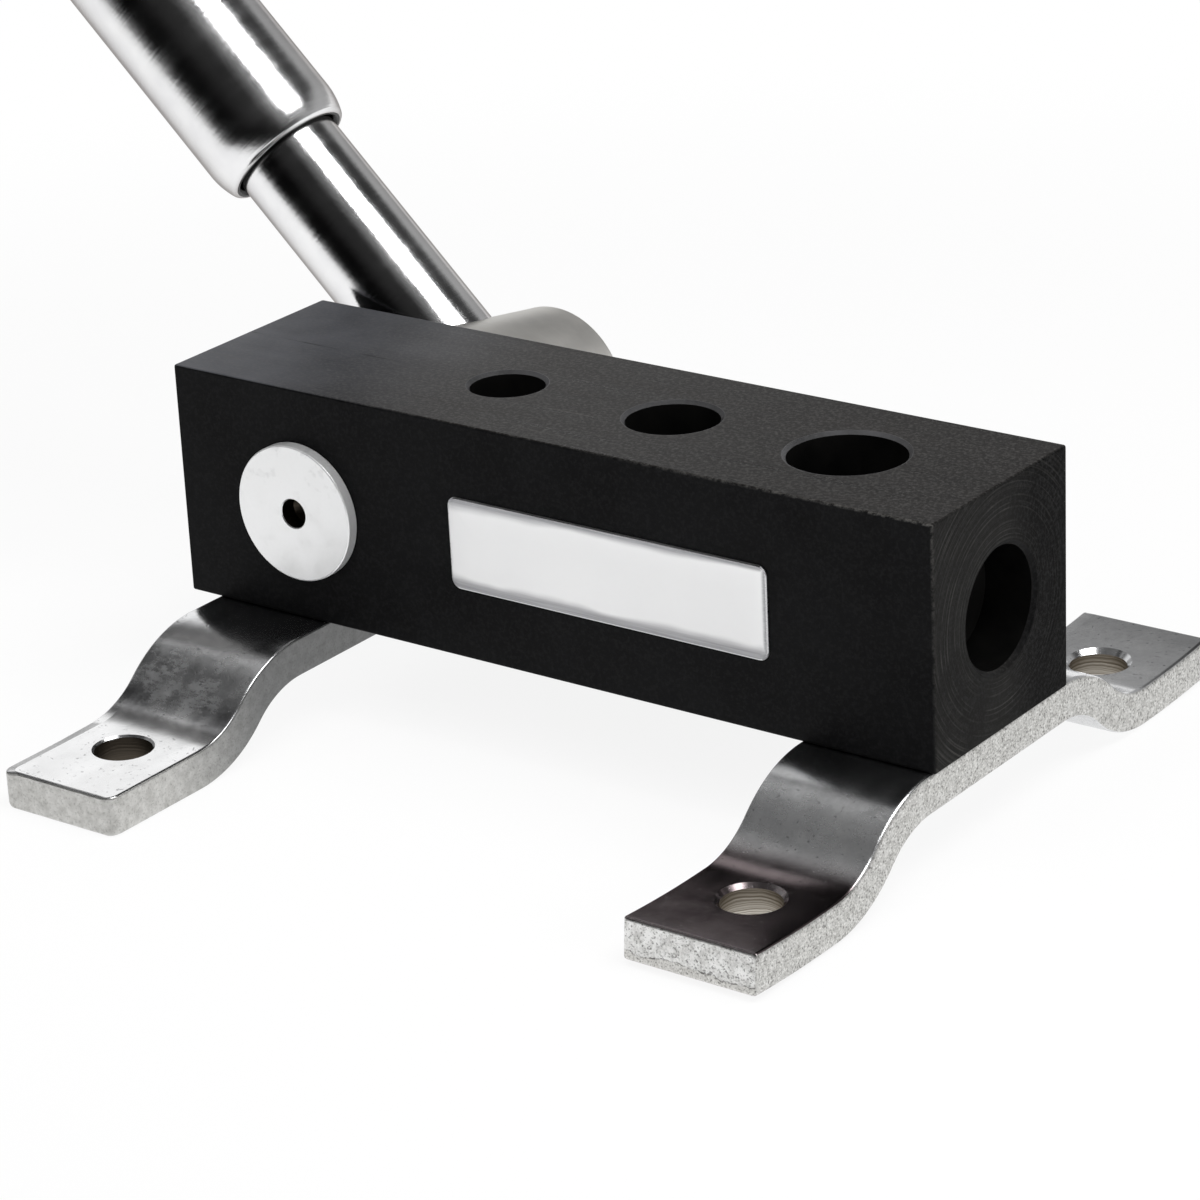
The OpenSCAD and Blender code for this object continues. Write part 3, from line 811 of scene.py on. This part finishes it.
def strap_form(node, centre, half_length, half_width):
    """Swept strap with rounded foot corners, softened edges and slightly lifted toes."""
    soft = END_ROUND
    least_drop = 0.05
    foot_steps = 8
    corner = STRAP_CORNERS[node]
    stations = strap_path()
    foot_start = stations[-1][0]
    foot = half_length - corner - foot_start
    shares = [k / foot_steps for k in range(1, foot_steps + 1)]
    stations += [(foot_start + foot * share, STRAP_THICK / 2, 0, 1) for share in shares]
    ends = [corner * (1 - math.sin(math.radians(10 * k))) for k in range(1, 9)]
    ends += [soft * (1 - math.sin(math.radians(18 * k))) for k in range(1, 5)] + [0.0]
    ends = sorted({round(d, 3) for d in ends}, reverse=True)
    stations += [(half_length - d, STRAP_THICK / 2, 0, 1) for d in ends]
    stations = [lifted(station, half_length, TOE_LIFTS[node]) for station in stations]
    whole = [(-d, z, -n, u) for d, z, n, u in reversed(stations[1:])] + stations
    form = bmesh.new()
    rings = []
    for d, z, n, u in whole:
        left = half_length - abs(d)
        inset = corner - math.sqrt(max(0, corner ** 2 - max(0, corner - left) ** 2))
        thin = soft - math.sqrt(max(0, soft ** 2 - max(0, soft - left) ** 2))
        ring = []
        along_foot = min(1, max(least_drop, (abs(d) - foot_start) / FOOT_HOLE_INSET + 0.5))
        drop = SHOULDER_DROPS[node] * along_foot
        for x, up in strap_section(half_width - inset, STRAP_THICK / 2 - thin, EDGE_ROUNDS[node], drop):
            ring.append(form.verts.new((centre.x + x, centre.y + d + n * up, z + u * up)))
        rings.append(ring)
    close_rings(form, rings)
    return form


def bolt_places(centre):
    """Places of the two bolts that hold a strap with that centre under the block."""
    return [(centre.x, centre.y / 2 + side * BOLT_PITCH / 2) for side in (-1, 1)]


def make_strap(node):
    """Strap with its foot and bolt holes; sheared edges and drilled walls have their own finish."""
    low, high = box_mm(node)
    centre = (low + high) / 2
    half_length = (high.y - low.y) / 2
    half_width = (high.x - low.x) / 2
    strap = to_object(node + "_bar", strap_form(node, centre, half_length, half_width))
    over = 1
    burr = HOLE_CHAMFERS[node]
    hole_at = half_length - FOOT_HOLE_INSET
    r = FOOT_HOLE_R
    profile = [(0, -over), (r, -over), (r, STRAP_THICK - burr), (r + burr + over, STRAP_THICK + over),
               (0, STRAP_THICK + over)]
    for side in (-1, 1):
        carve(strap, lathe(profile, along((0, 0, 1), (centre.x, centre.y + side * hole_at, 0)), 96))
    seat_z = ride - STRAP_THICK + SPOT_DEPTH
    clear = BOLT_R + 0.5
    seat = [(0, 0), (SPOT_R, 0), (SPOT_R, seat_z), (clear, seat_z), (clear, ride + over), (0, ride + over)]
    for at in bolt_places(centre):
        carve(strap, lathe(seat, along((0, 0, 1), (*at, 0)), 96))
    settle(strap, "frame", node, [ZINC_FACES[node], ZINC_EDGES[node], DRILLED[node]])
    for face in strap.data.polygons:
        at = face.center / MM
        away = min(math.hypot(at.x - centre.x, at.y - centre.y - side * hole_at) for side in (-1, 1))
        upright = abs(face.normal.x) > 0.6 or abs(face.normal.y) > 0.75
        if away < r + 0.1 and abs(face.normal.z) < 0.5:
            face.material_index = 2
        elif away > r + burr + 0.2 and upright:
            face.material_index = 1


def make_disc():
    """Front disc on its spigot, with a centre hole that ends as a drill leaves it."""
    face = disc_low.y
    reach = disc_high.y - face
    flange = front_y - 0.1 - face
    spigot = CROSS_BORE_R - 0.04
    hole = 3.5
    hole_depth = 5.5
    burr = 0.2
    drilled_end = [(0, hole_depth, 0), (hole - 1.1, hole_depth - 0.3, 0), (hole, hole_depth - 1.3, 0.3)]
    front = [(hole, burr, 0.1), (hole + burr, 0, 0.1), (disc_r, 0, DISC_ROUND), (disc_r, flange, 0.15)]
    back = [(spigot, flange, 0), (spigot, reach, 0.5), (0, reach, 0)]
    place = on_crank(face)
    disc = to_object("crank_disc", lathe(rounded(drilled_end + front + back), place))
    settle(disc, "crank", "front_disc", [DISC_STEEL, DRILLED["left_strap"]])
    for polygon in disc.data.polygons:
        at = polygon.center / MM - crank
        if math.hypot(at.x, at.z) < hole + 0.1 and burr < at.y - face < hole_depth + 0.1:
            polygon.material_index = 1


def make_plate():
    """Name plate: a thin pressed edge round a domed face, with nothing on it."""
    middle = (plate_low + plate_high) / 2
    half_x = (plate_high.x - plate_low.x) / 2
    half_z = (plate_high.z - plate_low.z) / 2
    rise = plate_high.y - plate_low.y
    corner = 2.5
    least_corner = 0.15
    corner_share = 0.65
    soft = 0.12
    lip = 0.35
    lip_rise = 0.4
    dome_run = 6.5
    dome_foot = lip_rise + 0.04
    stations = [(0, 0), (0, lip_rise - soft), (soft, lip_rise), (lip, dome_foot)]
    for angle in (4, 12, 22, 34, 48, 62, 76, 88):
        a = math.radians(angle)
        stations.append((lip + dome_run * (1 - math.cos(a)), dome_foot + (1 - dome_foot) * math.sin(a)))
    form = bmesh.new()
    rings = []
    for inset, height in stations:
        radius = max(least_corner, corner - inset * corner_share)
        w, h = half_x - inset, half_z - inset
        y = front_y - height * rise
        corners = [(-w, -h, radius), (w, -h, radius), (w, h, radius), (-w, h, radius)]
        outline = rounded(corners, 8, closed=True)
        rings.append([form.verts.new((middle.x + a, y, middle.z + b)) for a, b in outline])
    close_rings(form, rings)
    plate = to_object("plate", form)
    settle(plate, "frame", "name_plate", [RIM, FIELD], 40)
    field_x = (half_x - lip) * MM
    field_z = (half_z - lip) * MM
    for face in plate.data.polygons:
        off = face.center - middle * MM
        if abs(off.x) < field_x and abs(off.z) < field_z and face.normal.y < -0.5:
            face.material_index = 1


def make_ram():
    """Ram with its chamfered ends, the notch for the crank's roller and a seat for each pipe."""
    length = ram_high.x - ram_low.x
    chamfer = 1
    notch_half = 6.45
    notch_drop = 6.6
    side = 20
    tall = 40
    half = [(0, 0, 0), (ram_r - chamfer, 0, 0.1), (ram_r, chamfer, 0.2)]
    profile = half + [(r, length - at, soft) for r, at, soft in reversed(half)]
    ram = to_object("ram_bar", lathe(rounded(profile, 3), along((1, 0, 0), (ram_low.x, 0, ram_z))))
    floor = pin.z - notch_drop
    carve(ram, brick((pin.x - notch_half, -side, floor), (pin.x + notch_half, side, floor + tall)))
    for x, bore in PIPE_HOLES:
        r = bore / 2 + SEAT_PLAY
        seat = [(0, 0), (r, 0), (r, tall), (0, tall)]
        carve(ram, lathe(seat, along((0, 0, 1), (x + SEAT_LEAD, 0, SEAT_FLOOR))))
    middle = PIPE_HOLES[-1][0] + SEAT_LEAD
    reach = SEAT_RELIEF / 2
    carve(ram, brick((middle - reach, -side, SEAT_FLOOR), (middle + reach, side, SEAT_FLOOR + tall)))
    settle(ram, "ram", "ram", [BORE_BLACK])


def make_hub():
    """Turned hub that tapers to the back, with a pocket for its screw and a socket for the rod."""
    length = hub_high.y - hub_low.y
    front_r = (hub_high.z - hub_low.z) / 2
    plain = back_y + HUB_PLAIN - hub_low.y
    floor = length - HUB_POCKET
    tall = 60
    front = [(HUB_BORE_R, 0, 0), (front_r - 1, 0, 0.3), (front_r, 1, 0.4), (front_r, plain, 3)]
    back = [(HUB_END_R, length - 1, 3.4), (HUB_END_R, length, 3)]
    pocket = [(HUB_POCKET_R, length, 0.5), (HUB_POCKET_R, floor, 0.2), (HUB_BORE_R, floor, 0)]
    profile = rounded(front + back + pocket, 6, closed=True)
    hub = to_object("hub", lathe(profile, on_crank(hub_low.y), closed=True))
    socket = [(0, 0), (ROD_R + FIT, 0), (ROD_R + FIT, tall), (0, tall)]
    carve(hub, lathe(socket, on_lever(ROD_FOOT)))
    settle(hub, "crank", "lever_hub", [HUB_STEEL])


def make_rod():
    """Lever rod with a chamfer at its upper end."""
    length = ROD_REACH - ROD_FOOT
    chamfer = 2
    top = [(ROD_R, length - chamfer, 0.5), (ROD_R - chamfer, length, 0.3), (0, length, 0)]
    rod = to_object("rod", lathe(rounded([(0, 0, 0), (ROD_R, 0, 0.3)] + top), on_lever(ROD_FOOT)))
    settle(rod, "crank", "lever_rod", [ROD_STEEL])


def make_tube():
    """Handle tube, drawn in at its lower end by a long nose, with a chamfer inside its mouth."""
    length = TUBE_END - TUBE_START
    nose_run = 8
    nose_draw = 1.7
    lip = 1.3
    painted_shade_r = TUBE_R - nose_draw - 1
    steps = 12
    shares = [k / steps for k in range(1, steps + 1)]
    nose = [(TUBE_R - nose_draw, 0, lip)]
    nose += [(TUBE_R - nose_draw * (1 - s) ** 2, nose_run * s, 0) for s in shares if nose_run * s > lip]
    ends = [(TUBE_R, length, 0.4), (TUBE_IN, length, 0.3), (TUBE_IN, 0.8, 0.2), (TUBE_IN + 0.7, 0, 0.1)]
    start = on_lever(TUBE_START)
    tube = to_object("tube", lathe(rounded(nose + ends, closed=True), start, closed=True))
    settle(tube, "handle", "handle_tube", [TUBE_STEEL, BORE_BLACK])
    # Painted shade: the tube's inside takes the black bore finish
    to_start = start.inverted()
    for face in tube.data.polygons:
        at = to_start @ (face.center / MM)
        if math.hypot(at.x, at.y) < painted_shade_r and at.z < length - 1:
            face.material_index = 1


def make_cap():
    """End plug with a domed head and barbs on its stem."""
    stem = TUBE_IN - FIT
    stem_end = -15
    barbs_from = -12
    barb_pitch = 4
    profile = [(0, stem_end, 0), (stem - 1.2, stem_end, 0.6), (stem - 0.4, barbs_from, 0)]
    for barb in range(3):
        low = barbs_from + barb_pitch * barb
        profile += [(stem, low + 2.6, 0.1), (stem - 0.7, low + 3.0, 0.1), (stem - 0.5, low + barb_pitch, 0)]
    profile += [(stem, 0, 0), (TUBE_R, 0, 0.3), (TUBE_R, 3, 1.2), (TUBE_R - 1.6, 4.1, 2), (0, 4.5, 0)]
    cap = to_object("end_plug", lathe(rounded(profile), on_lever(TUBE_END)))
    settle(cap, "handle", "tube_cap", [PLASTIC])


def hex_screw(name, height, place, shank):
    """Hexagon head with its outer corners turned off, and a shank as a shell of its own."""
    r = BOLT_HEX / math.sqrt(3)
    chamfer = 0.5
    form = bmesh.new()
    bmesh.ops.create_cone(form, cap_ends=True, segments=6, radius1=r, radius2=r, depth=height)
    form.transform(place @ Matrix.Translation((0, 0, height / 2)))
    bottom, top = -0.01, height + 0.001
    shoulder = height - chamfer - 0.58
    turned = [(0, bottom), (r + 1, bottom), (r + 1, shoulder), (BOLT_HEX / 2 - chamfer, top), (0, top)]
    screw = to_object(name, form)
    carve(screw, lathe(turned, place, 96), "INTERSECT")
    join(screw, to_object("shank", shank))
    return screw


def make_bolt(node, at):
    """Hexagon bolt through a strap from below, its head under the lock washer."""
    low, high = box_mm(node)
    head = LOCK_Z - low.z
    length = high.z - LOCK_Z
    bare = ride - LOCK_Z
    pitch = 1.25
    crest = 0.2
    root = BOLT_R - 0.7
    threads = [(0, 0), (BOLT_R, 0)]
    for k in range(int((length - bare) / pitch) - 1):
        z = bare + k * pitch
        threads += [(BOLT_R, z + crest), (root, z + pitch / 2), (BOLT_R, z + pitch - crest)]
    threads += [(BOLT_R, length - 1), (root, length), (0, length)]
    shank = lathe(threads, along((0, 0, 1), (*at, LOCK_Z)), 48)
    bolt = hex_screw(node + "_hex", head, along((0, 0, -1), (*at, LOCK_Z)), shank)
    settle(bolt, "frame", node, [FASTENER], 25)


def join(first, second):
    """Adds the second object's mesh to the first, as a shell of its own."""
    form = bmesh.new()
    form.from_mesh(first.data)
    form.from_mesh(second.data)
    form.to_mesh(first.data)
    form.free()
    bpy.data.objects.remove(second)


def make_lock(node, at):
    """Split spring washer, with a gap between its two ends."""
    play = 0.05
    soft = 0.3
    split = 1.2
    inner = BOLT_R + 0.25
    outer = LOCK_R - play
    low, high = play, LOCK_T - play
    corners = [(inner, low, soft), (outer, low, soft), (outer, high, soft), (inner, high, soft)]
    section = rounded(corners, 3, closed=True)
    gap = math.asin(split / (inner + outer))
    steps = 72
    form = bmesh.new()
    rings = []
    for k in range(steps + 1):
        angle = gap + (2 * math.pi - 2 * gap) * k / steps
        x, y = math.cos(angle), math.sin(angle)
        rings.append([form.verts.new((at[0] + r * x, at[1] + r * y, LOCK_Z + h)) for r, h in section])
    close_rings(form, rings)
    lock = to_object(node + "_ring", form)
    settle(lock, "frame", node, [FASTENER])


def make_strap_fasteners():
    for side in ("left", "right"):
        low, high = box_mm(side + "_strap")
        for end, at in zip(("front", "back"), bolt_places((low + high) / 2)):
            make_bolt(f"{side}_bolt_{end}", at)
            make_lock(f"{side}_lock_{end}", at)


def make_hub_screw():
    """Hexagon screw that holds the hub on its shaft."""
    low, high = box_mm("hub_screw")
    head = 5.3
    tip_r = BOLT_R - 0.6
    length = high.y - head - low.y
    profile = [(0, 0), (tip_r, 0), (BOLT_R, 0.8), (BOLT_R, length), (0, length)]
    shank = lathe(profile, on_crank(low.y), 64)
    screw = hex_screw("hub_bolt", head, on_crank(high.y - head), shank)
    settle(screw, "crank", "hub_screw", [FASTENER], 25)


def paint_inner_nodes():
    """Procedural finishes for the hidden CAD nodes, whose shapes stay as they are."""
    finishes = {
        "drive_shaft": SHAFT_STEEL, "crank_pin": SHAFT_STEEL, "crank_roller": SHAFT_STEEL,
        "thrust_washer": BRONZE, "hub_key": FASTENER, "hub_washer": FASTENER, "rod_pin": FASTENER,
        "tube_stop": HUB_STEEL}
    for node, material in finishes.items():
        slots = frame["nodes"][node].data.materials
        slots.clear()
        slots.append(material)


# Camera, light and floor

def make_camera():
    """Camera where the photo was taken from, as solved from the block's edges."""
    place = (0.45046, -0.71505, 0.39943)
    turn_degrees = (67.70086, 2.53242, 36.05179)
    data = bpy.data.cameras.new("camera")
    data.lens = 126.187
    data.sensor_width = 36
    data.clip_start = 0.01
    data.clip_end = 50
    camera = bpy.data.objects.new("camera", data)
    camera.location = place
    camera.rotation_euler = tuple(math.radians(a) for a in turn_degrees)
    bpy.context.scene.collection.objects.link(camera)
    bpy.context.scene.camera = camera


def direction(azimuth, elevation):
    """Unit vector from the object: azimuth 0 to the front, 90 to the bored end."""
    a, e = math.radians(azimuth), math.radians(elevation)
    return Vector((math.sin(a) * math.cos(e), -math.cos(a) * math.cos(e), math.sin(e)))


def make_lamp(name, azimuth, elevation, distance, size, power, mirrored=True):
    """Softbox that looks at the middle of the block; polished steel may be kept from mirroring it."""
    target = Vector((-0.09, 0, 0.06))
    data = bpy.data.lights.new(name, "AREA")
    data.shape = "RECTANGLE"
    data.size, data.size_y = size
    data.energy = power
    lamp = bpy.data.objects.new(name, data)
    away = direction(azimuth, elevation)
    lamp.location = target + away * distance
    lamp.rotation_euler = (-away).to_track_quat("-Z", "Y").to_euler()
    lamp.visible_glossy = mirrored
    bpy.context.scene.collection.objects.link(lamp)


def make_world():
    """Studio round the object: white sweep to the left and low behind, grey ceiling, dark room in front."""
    world = bpy.data.worlds.new("studio")
    world.use_nodes = True
    bpy.context.scene.world = world
    g = Graph(world.node_tree, "Generated")
    x, y, z = (g.axis(name) for name in "XYZ")
    behind = g.span(y, -0.15, 0.35, kind=EASE)
    below = g.span(z, 0.44, 0.62, 1, 0, EASE)
    leftward = g.span(x, -0.5, -0.64, 0.12, 1, EASE)
    horizon = g.span(z, 0.05, 0.2, 1, 0, EASE)
    low_left = g.product(g.span(x, -0.65, -0.69), g.span(z, 0.32, 0.25))
    sweep = g.product(behind, below, g.math("MAXIMUM", leftward, horizon), g.span(low_left, 0, 1, 1, 0.14))
    overhead = g.span(z, 0.25, 0.6, 0.02, 0.2, EASE)
    forward = g.span(y, -0.65, -0.3, 0.1, 1, EASE)
    far_left = g.span(x, -0.62, -0.56, 0.22, 1, EASE)
    front_half = g.span(y, 0.2, 0.55, 1, 0, EASE)
    back_half = g.span(y, 0.2, 0.55, 0, 1, EASE)
    wall = g.product(g.span(z, 0.3, 0.72, 0.10, 0.03), back_half)
    ceiling = g.math("ADD", g.product(overhead, forward, far_left, front_half), wall)
    # A paler wall stands behind on the right, low enough that only the lever's right side mirrors it
    right_wall = g.product(g.span(x, -0.42, -0.32), g.span(y, 0.45, 0.65), g.span(z, 0.64, 0.5), 0.08)
    # Pale panes over the left: one for each strap's crest, one on the lever as the left strap sees it
    high_pane = g.product(g.span(x, -0.52, -0.55, 0.3, 1.5), g.span(z, 0.79, 0.82), g.span(y, -0.06, 0.02),
                          g.span(y, 0.2, 0.26, 1, 0), 0.36)
    side_pane = g.product(g.span(x, -0.585, -0.61), g.span(z, 0.69, 0.72), g.span(y, 0.13, 0.19),
                          g.span(y, 0.28, 0.33, 1, 0), 0.8)
    low_pane = g.product(g.span(x, -0.65, -0.68), g.span(z, 0.38, 0.44), g.span(z, 0.62, 0.66, 1, 0),
                         g.span(y, -0.65, -0.55), g.span(y, -0.15, 0.0, 1, 0), 0.4)
    panes = g.math("ADD", g.math("ADD", high_pane, low_pane), g.math("ADD", side_pane, right_wall))
    strength = g.math("ADD", g.math("ADD", ceiling, panes), sweep)
    room = g.tree.nodes["Background"]
    g.feed(room, {"Color": (1, 1, 1, 1), "Strength": strength})
    white = g.node("ShaderNodeBackground", {"Color": (1, 1, 1, 1)})
    camera, mirrored = g.seen_white()
    share = g.math("MAXIMUM", camera, g.product(mirrored, sweep))
    g.show("World Output", room.outputs["Background"], share, white.outputs["Background"])


def make_floor():
    """White floor that keeps the object's shadow; what looks at it or mirrors it sees mostly white."""
    half_size = 4000
    drop = 0.3
    form = bmesh.new()
    bmesh.ops.create_grid(form, x_segments=1, y_segments=1, size=half_size)
    form.transform(Matrix.Translation((0, 0, -drop)))
    floor = to_object("floor", form)
    p = Paint("white_floor", 0.0)
    p.set("Roughness", 0.8)
    lit = p.span(p.axis("Y"), -0.85, -0.08, kind=EASE)
    p.set("Base Color", p.mix(lit, (0.1, 0.1, 0.1), (0.93, 0.93, 0.93)))
    p.set("Specular IOR Level", 0.0)
    camera, mirrored = p.seen_white()
    white = p.node("ShaderNodeEmission")
    seen_share = p.span(p.distance((-90, 0, 0), (1, 1, 0)), 0.3, 0.6, 0.88, 1, EASE)
    mirrored_share = p.product(lit, 0.75)
    share = p.math("MAXIMUM", p.product(camera, seen_share), p.product(mirrored, mirrored_share))
    p.show("Material Output", p.shader.outputs["BSDF"], share, white.outputs["Emission"])
    floor.data.materials.append(p.material)


def make_lights():
    make_world()
    make_lamp("overhead_softbox", 100, 60, 1.3, (0.75, 0.55), 7)
    make_lamp("top_fill", 20, 65, 1.6, (1.2, 1.2), 13, mirrored=False)
    make_lamp("front_fill", -25, 30, 1.8, (1.2, 0.9), 8, mirrored=False)
    make_lamp("right_fill", 80, 12, 1.8, (0.9, 0.9), 12, mirrored=False)


make_camera()
make_lights()
make_floor()
make_block()
make_strap("left_strap")
make_strap("right_strap")
make_strap_fasteners()
make_disc()
make_plate()
make_ram()
make_hub()
make_hub_screw()
make_rod()
make_tube()
make_cap()
paint_inner_nodes()

bpy.context.scene.view_settings.view_transform = "Standard"
